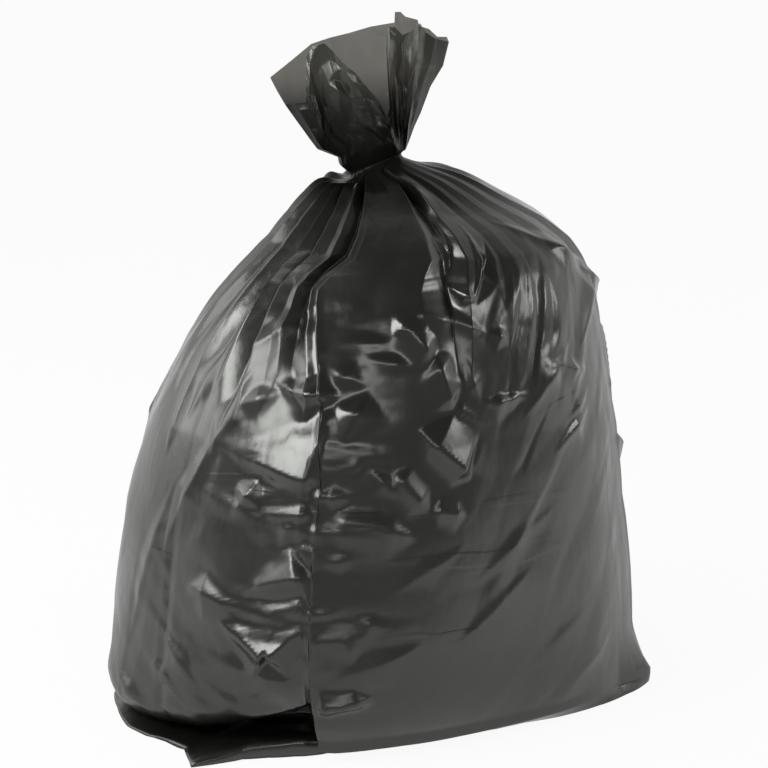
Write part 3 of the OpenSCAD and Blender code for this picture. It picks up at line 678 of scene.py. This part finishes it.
def floor_material():
    """Plain white floor, nearly even for the camera.
    The film's gloss sees it dimmer near the sack and towards the camera: a painted shadow in the reflections.
    """
    m = bpy.data.materials.new("studio_floor")
    m.use_nodes = True
    tree = m.node_tree
    painted = tree.nodes["Principled BSDF"]
    join(tree, painted, {"Base Color": (0.9, 0.9, 0.9, 1), "Roughness": 0.9})
    ray = node(tree, "LightPath", {}).outputs
    place = node(tree, "NewGeometry", {}).outputs["Position"]
    ahead = along_axis(tree, place, direction(AZ, 0))
    away = node(tree, "VectorMath", {0: place}, operation="LENGTH").outputs["Value"]
    # painted shadow: the floor's reflection darkens towards the camera and near the sack
    painted_shade_ahead = remap(tree, ahead, 0.2, 1.1, 1.0, 0.3)
    level = combine(tree, "MULTIPLY", painted_shade_ahead, remap(tree, away, 0.25, 0.7, 0.72, 1.0))
    glow_with_painted_shade = node(tree, "Mix", {"Factor": ray["Is Glossy Ray"], "A": 1.0, "B": level}).outputs["Result"]
    white = node(tree, "Emission", {"Color": (1, 1, 1, 1), "Strength": glow_with_painted_shade}).outputs["Emission"]
    seen = combine(tree, "MAXIMUM", ray["Is Camera Ray"], ray["Is Transmission Ray"])
    share = combine(tree, "MAXIMUM", combine(tree, "MULTIPLY", seen, 0.93), ray["Is Glossy Ray"])
    surface = node(tree, "MixShader", {"Fac": share, 1: painted.outputs["BSDF"], 2: white}).outputs["Shader"]
    join(tree, tree.nodes["Material Output"], {"Surface": surface})
    return m


def studio_world():
    """White behind the sack; the room on the camera's side and overhead is dim in the film's gloss."""
    world = bpy.data.worlds.new("studio")
    bpy.context.scene.world = world
    world.use_nodes = True
    tree = world.node_tree
    ray = node(tree, "LightPath", {}).outputs
    place = node(tree, "TexCoord", {}).outputs["Generated"]
    room = remap(tree, along_axis(tree, place, direction(AZ, 0)), -0.45, 0.1, 1.0, 0.27)
    overhead = remap(tree, height_of(tree, place), 0.05, 0.75, 1.0, 0.5)
    seen = combine(tree, "MAXIMUM", ray["Is Camera Ray"], ray["Is Transmission Ray"])
    gloss = combine(tree, "MULTIPLY", ray["Is Glossy Ray"], combine(tree, "MULTIPLY", room, overhead))
    soft = combine(tree, "MULTIPLY", ray["Is Diffuse Ray"], 0.5)
    strength = combine(tree, "ADD", combine(tree, "MAXIMUM", seen, gloss), soft)
    join(tree, tree.nodes["Background"], {"Color": (1, 1, 1, 1), "Strength": strength})


def aimed(name, data, place, target):
    """Adds a lamp or camera at a place, looking at a target."""
    ob = bpy.data.objects.new(name, data)
    bpy.context.scene.collection.objects.link(ob)
    ob.location = place
    ob.rotation_euler = (target - ob.location).to_track_quat("-Z", "Y").to_euler()
    return ob


def softbox(name, az, el, dist, size_x, size_y, watts):
    d = bpy.data.lights.new(name, "AREA")
    d.shape = "RECTANGLE"
    d.size = size_x
    d.size_y = size_y
    d.energy = watts
    aimed(name, d, LIT_POINT + direction(az, el) * dist, LIT_POINT)


def photo_camera():
    """Camera at the photo's angle, aimed so that the sack stands where it does in the photo."""
    cam = bpy.data.cameras.new("camera")
    cam.lens = LENS
    cam.sensor_width = SENSOR
    metres_per_px = DIST / (LENS / SENSOR * PHOTO_PX)
    right = Vector((math.cos(math.radians(AZ)), math.sin(math.radians(AZ)), 0))
    up = TARGET_UP_PX * metres_per_px / math.cos(math.radians(EL))
    foot = Vector((-CENTRING[0] / 1000, -CENTRING[1] / 1000, up))
    target = right * (TARGET_RIGHT_PX * metres_per_px) + foot
    bpy.context.scene.camera = aimed("camera", cam, target + direction(AZ, EL) * DIST, target)


# The sack.
folds = FOLDS + scattered_folds()
cols = columns()
rows = hem_rows(cols, folds) + body_rows(cols, folds)
rows += neck_rows(cols, rows[-2], rows[-1])
body = np.stack(rows)
skin = grid_mesh("sack_skin", body)
mark_crease(skin, body, cols)
skin.data.materials.append(film_material("film_body", BODY_GLOSS_PAINTED_SHADE, crease=True))
tuft = grid_mesh("sack_tuft", np.stack(tuft_rows(cols)))
tuft.data.materials.append(film_material("film_tuft", TUFT_GLOSS_PAINTED_SHADE, see_through=True))

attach(skin, "root")
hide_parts("tied_sack")
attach(tuft, "root")

# The studio.
bpy.ops.mesh.primitive_plane_add(size=FLOOR_SIZE, location=(0, 0, -FLOOR_DROP))
floor = bpy.context.active_object
floor.name = "studio_floor"
floor.data.materials.append(floor_material())
studio_world()
softbox("softbox_key", -93, 32, 2.4, 1.3, 0.9, 30)
softbox("softbox_right", 48, 21, 2.4, 0.7, 0.4, 4.4)
softbox("softbox_front", -38, 27, 2.6, 2.3, 0.35, 8)
softbox("softbox_left", -140, 22, 2.6, 1.6, 1.6, 17)
photo_camera()
bpy.context.scene.view_settings.view_transform = "Standard"

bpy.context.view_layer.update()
